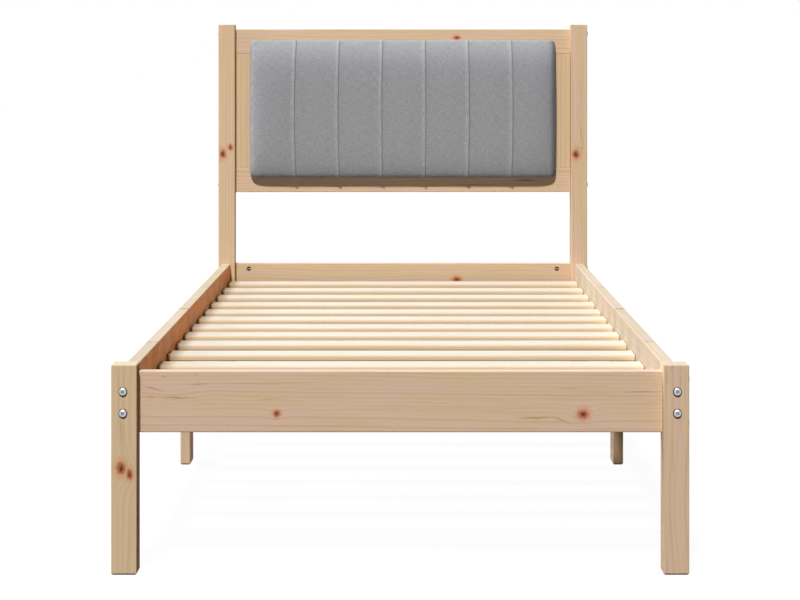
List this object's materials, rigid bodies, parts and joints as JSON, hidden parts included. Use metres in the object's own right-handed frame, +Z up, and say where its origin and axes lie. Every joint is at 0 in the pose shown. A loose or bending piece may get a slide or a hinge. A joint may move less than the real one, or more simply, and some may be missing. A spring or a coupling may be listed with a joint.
{
  "type": "upholstered bed frame",
  "caption": "Single bed frame of pale solid pine with slats and mid legs, and a headboard whose grey upholstered pad is sewn in upright channels.",
  "frame": {"origin": "on the floor under the middle of the bed's overall box", "axes": "+X to the right seen from the foot end, +Y from the foot towards the headboard, +Z up"},
  "size_m": [0.9738, 2.0768, 0.9642],
  "materials": {
    "pine_frame": "satin clear lacquer",
    "pine_slats": "planed bare wood",
    "plywood": "bare plywood",
    "foam": "open-cell foam",
    "fabric_grey": "plain-woven cloth",
    "steel": "zinc plated"
  },
  "bodies": {
    "root": {"cross_board_barrel_nuts": "steel", "cross_board_bolts": "steel", "foot_board": "pine_frame", "foot_post_left": "pine_frame", "foot_post_right": "pine_frame", "head_board": "pine_frame", "headboard_barrel_nuts": "steel", "headboard_bolts": "steel", "headboard_bottom_rail": "pine_frame", "headboard_post_left": "pine_frame", "headboard_post_right": "pine_frame", "headboard_stile_centre": "pine_frame", "headboard_stile_left": "pine_frame", "headboard_stile_right": "pine_frame", "headboard_top_rail": "pine_frame", "ledger_screws": "steel", "mid_leg_insert_nuts": "steel", "mid_leg_left": "pine_frame", "mid_leg_right": "pine_frame", "mid_leg_studs": "steel", "pad_board": "plywood", "pad_cover": "fabric_grey", "pad_foam": "foam", "pad_screws": "steel", "side_rail_barrel_nuts": "steel", "side_rail_bolts": "steel", "side_rail_left": "pine_frame", "side_rail_right": "pine_frame", "slat_01": "pine_slats", "slat_02": "pine_slats", "slat_03": "pine_slats", "slat_04": "pine_slats", "slat_05": "pine_slats", "slat_06": "pine_slats", "slat_07": "pine_slats", "slat_08": "pine_slats", "slat_09": "pine_slats", "slat_10": "pine_slats", "slat_11": "pine_slats", "slat_12": "pine_slats", "slat_13": "pine_slats", "slat_ledger_left": "pine_slats", "slat_ledger_right": "pine_slats"}
  },
  "joints": []
}
